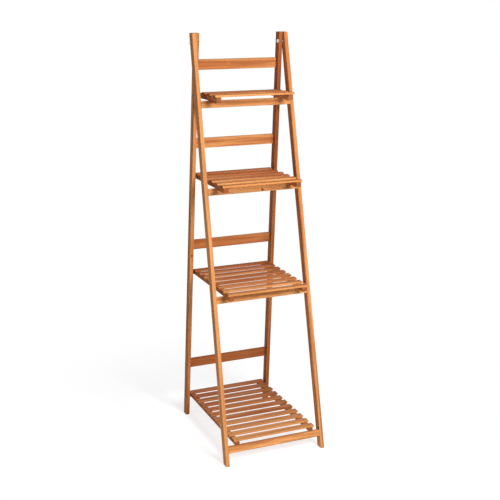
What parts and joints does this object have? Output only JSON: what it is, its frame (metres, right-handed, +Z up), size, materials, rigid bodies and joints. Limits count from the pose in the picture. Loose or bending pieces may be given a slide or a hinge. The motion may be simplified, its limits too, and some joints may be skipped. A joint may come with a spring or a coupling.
{
  "type": "plant ladder stand",
  "caption": "Folding A-frame plant stand of slim wooden legs with slatted shelves that step out towards the floor and swing up as the frame closes.",
  "frame": {"origin": "on the floor, under the middle of the open stand's bounding box", "axes": "+Z up, -Y towards the front where the shelves step out, +X to the stand's side with the frame mirrored about X = 0"},
  "size_m": [0.392, 0.5038, 1.5],
  "materials": {
    "frame_wood": "stained and oiled softwood, satin",
    "slat_wood": "stained and oiled softwood, satin, grain along the slat",
    "hardware": "zinc-plated steel, satin"
  },
  "bodies": {
    "rear_frame": {"rear_leg_left": "frame_wood", "rear_leg_right": "frame_wood", "back_rail_1": "frame_wood", "back_rail_2": "frame_wood", "back_rail_3": "frame_wood", "back_rail_4": "frame_wood", "hinge_bolt_left": "hardware", "hinge_bolt_right": "hardware", "hinge_nut_left": "hardware", "hinge_nut_right": "hardware", "shelf_1_pivot_left": "hardware", "shelf_1_pivot_right": "hardware", "shelf_2_pivot_left": "hardware", "shelf_2_pivot_right": "hardware", "shelf_3_pivot_left": "hardware", "shelf_3_pivot_right": "hardware", "shelf_4_pivot_left": "hardware", "shelf_4_pivot_right": "hardware"},
    "front_frame": {"front_leg_left": "frame_wood", "front_leg_right": "frame_wood", "front_rung_1": "frame_wood", "front_rung_2": "frame_wood", "front_rung_3": "frame_wood", "front_rung_4": "frame_wood"},
    "shelf_1": {"shelf_1_batten_left": "frame_wood", "shelf_1_batten_right": "frame_wood", "shelf_1_slat_1": "slat_wood", "shelf_1_slat_2": "slat_wood", "shelf_1_slat_3": "slat_wood"},
    "shelf_2": {"shelf_2_batten_left": "frame_wood", "shelf_2_batten_right": "frame_wood", "shelf_2_slat_1": "slat_wood", "shelf_2_slat_2": "slat_wood", "shelf_2_slat_3": "slat_wood", "shelf_2_slat_4": "slat_wood", "shelf_2_slat_5": "slat_wood", "shelf_2_slat_6": "slat_wood"},
    "shelf_3": {"shelf_3_batten_left": "frame_wood", "shelf_3_batten_right": "frame_wood", "shelf_3_slat_1": "slat_wood", "shelf_3_slat_2": "slat_wood", "shelf_3_slat_3": "slat_wood", "shelf_3_slat_4": "slat_wood", "shelf_3_slat_5": "slat_wood", "shelf_3_slat_6": "slat_wood", "shelf_3_slat_7": "slat_wood", "shelf_3_slat_8": "slat_wood"},
    "shelf_4": {"shelf_4_batten_left": "frame_wood", "shelf_4_batten_right": "frame_wood", "shelf_4_slat_1": "slat_wood", "shelf_4_slat_2": "slat_wood", "shelf_4_slat_3": "slat_wood", "shelf_4_slat_4": "slat_wood", "shelf_4_slat_5": "slat_wood", "shelf_4_slat_6": "slat_wood", "shelf_4_slat_7": "slat_wood", "shelf_4_slat_8": "slat_wood", "shelf_4_slat_9": "slat_wood", "shelf_4_slat_10": "slat_wood", "shelf_4_slat_11": "slat_wood"}
  },
  "joints": [
    {"name": "fold", "type": "hinge", "parent": "rear_frame", "child": "front_frame", "pos_m": [0, 0.09314, 1.467], "axis": [1, 0, 0], "range_deg": [0, 16]},
    {"name": "shelf_1_lift", "type": "hinge", "parent": "rear_frame", "child": "shelf_1", "pos_m": [0, 0.11852, 1.28004], "axis": [-1, 0, 0], "range_deg": [0, 71]},
    {"name": "shelf_2_lift", "type": "hinge", "parent": "rear_frame", "child": "shelf_2", "pos_m": [0, 0.14648, 0.97861], "axis": [-1, 0, 0], "range_deg": [0, 71]},
    {"name": "shelf_3_lift", "type": "hinge", "parent": "rear_frame", "child": "shelf_3", "pos_m": [0, 0.18127, 0.60357], "axis": [-1, 0, 0], "range_deg": [0, 71]},
    {"name": "shelf_4_lift", "type": "hinge", "parent": "rear_frame", "child": "shelf_4", "pos_m": [0, 0.23003, 0.078], "axis": [-1, 0, 0], "range_deg": [0, 71]}
  ],
  "couplings": [
    {"joint": "shelf_1_lift", "follows": "fold", "ratio": 4.4},
    {"joint": "shelf_2_lift", "follows": "fold", "ratio": 4.4},
    {"joint": "shelf_3_lift", "follows": "fold", "ratio": 4.4},
    {"joint": "shelf_4_lift", "follows": "fold", "ratio": 4.4}
  ]
}
